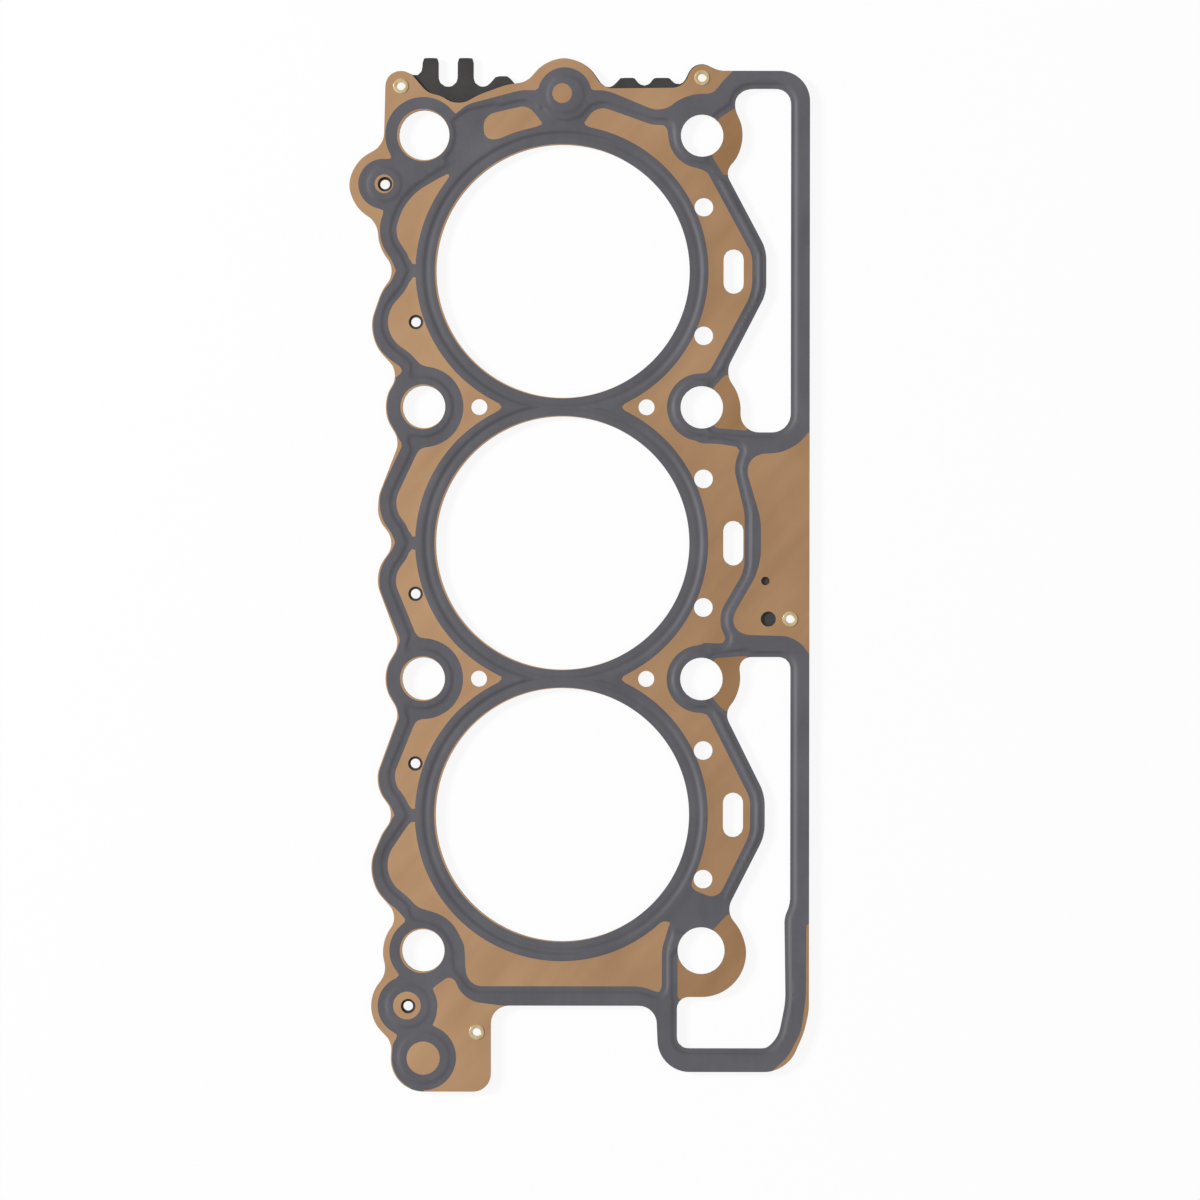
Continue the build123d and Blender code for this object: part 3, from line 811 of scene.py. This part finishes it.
def carrierSheet():
    holes = smallHoles + [(*spot, engine["meterHole"]) for spot in meters]
    bm = stampSheet(carrierLoop, holes, carrier["pitch"])
    for vert in bm.verts:
        vert.co.z = carrierTop
    bm.normal_update()
    bmesh.ops.solidify(bm, geom=bm.faces[:], thickness=carrierTop)
    finishPiece(bm, "carrierSheet", [blackCoatedSteel()], ["carrier_layer"])


eyelet = {
    "bore": 1.35,
    "tube": 1.8,
    "rim": 2.5,
    "rimThickness": 0.2,
    "turns": 48,
    "roll": 0.08,
    "rollAngle": 1.0,  # edges sharper than this are rolled, in radians
    "rollSegments": 3,
    "seam": 1e-4,
}
brass = eyeletBrass()


# a short tube turned over at both ends
def rolledEyelet(name, spot):
    bore, tube, rim = eyelet["bore"], eyelet["tube"], eyelet["rim"]
    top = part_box(name)[1][2] / mm
    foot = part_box(name)[0][2] / mm
    over = foot + eyelet["rimThickness"]
    under = top - eyelet["rimThickness"]
    profile = [(bore, foot), (rim, foot), (rim, over), (tube, over),
               (tube, under), (rim, under), (rim, top), (bore, top)]
    bm = bmesh.new()
    verts = [bm.verts.new((r, 0, z)) for r, z in profile]
    edges = [bm.edges.new((verts[i - 1], verts[i])) for i in range(len(verts))]
    bmesh.ops.spin(bm, geom=verts + edges, axis=(0, 0, 1), cent=(0, 0, 0), angle=math.tau,
                   steps=eyelet["turns"], use_merge=True)
    bmesh.ops.remove_doubles(bm, verts=bm.verts[:], dist=eyelet["seam"])
    corners = [edge for edge in bm.edges
               if edge.is_manifold and edge.calc_face_angle(0) > eyelet["rollAngle"]]
    bmesh.ops.bevel(bm, geom=corners, offset=eyelet["roll"], offset_type="OFFSET", affect="EDGES",
                    segments=eyelet["rollSegments"], profile=0.5, material=-1)
    bmesh.ops.translate(bm, vec=(*spot, 0), verts=bm.verts[:])
    finishPiece(bm, name + "_rolled", [brass], [name])


printedSheet()
carrierSheet()
for name, spot in eyeletSpots.items():
    rolledEyelet(name, spot)
print("gasket dressed")


# metres, watts and radians, with the lens and sensor in millimetres
studio = {
    "lens": 100.0,
    "sensor": 36.0,
    "view": 0.3978,  # the picture is this wide
    "aim": (0.01236, -0.01887),
    "roll": 0.0013,
    "key": {"spot": (-2.45, 0.75, 1.1), "power": 108.0, "size": 0.5},
    "fill": {"spot": (0.9, -0.6, 1.1), "power": 2.6, "size": 0.8},
    "worldLevel": 0.32,
    "white": (1, 1, 1, 1),
    "paper": (0.95, 0.95, 0.95, 1),
    "glowShare": 0.9,
    "floorSize": 3.0,
    "floorDrop": 0.0004,
}


def shoot():
    camera = bpy.data.cameras.new("photoCamera")
    camera.lens = studio["lens"]
    camera.sensor_width = studio["sensor"]
    holder = addObject("photoCamera", camera)
    height = studio["view"] * studio["lens"] / studio["sensor"]
    holder.location = (*studio["aim"], height)
    holder.rotation_euler = (0, 0, studio["roll"])
    bpy.context.scene.camera = holder


def lamp(name):
    light = bpy.data.lights.new(name, "AREA")
    light.energy = studio[name]["power"]
    light.size = studio[name]["size"]
    holder = addObject(name, light)
    holder.location = studio[name]["spot"]
    holder.rotation_euler = holder.location.to_track_quat("Z", "Y").to_euler()


# the paper shows white to the camera and in reflections, and keeps the shadow
def whitePaper():
    finish = Finish("whitePaper")
    finish.tree.nodes.remove(finish.tree.nodes["Principled BSDF"])
    paper = finish.node("BsdfDiffuse", None, {"Color": studio["paper"]})
    glow = finish.node("Emission", None, {"Color": studio["white"]})
    camera, gloss, glass = (finish.node("LightPath", out="Is " + ray + " Ray")
                            for ray in ("Camera", "Glossy", "Transmission"))
    seen = (camera + gloss + glass) * studio["glowShare"]
    mixed = finish.node("MixShader", None, {0: seen, 1: paper, 2: glow})
    mixed.link(finish.tree.nodes["Material Output"].inputs["Surface"])
    return finish.material


def whiteFloor():
    bm = bmesh.new()
    bmesh.ops.create_grid(bm, x_segments=1, y_segments=1, size=studio["floorSize"],
                          matrix=Matrix.Translation((0, 0, -studio["floorDrop"])))
    mesh = bpy.data.meshes.new("floor")
    bm.to_mesh(mesh)
    bm.free()
    mesh.materials.append(whitePaper())
    floor = addObject("floor", mesh)


def softWorld():
    world = bpy.data.worlds.new("studio")
    bpy.context.scene.world = world
    world.use_nodes = True
    background = world.node_tree.nodes["Background"].inputs
    background["Color"].default_value = studio["white"]
    background["Strength"].default_value = studio["worldLevel"]


shoot()
whiteFloor()
softWorld()
lamp("key")
lamp("fill")
bpy.context.scene.view_settings.view_transform = "Standard"
print("studio set")
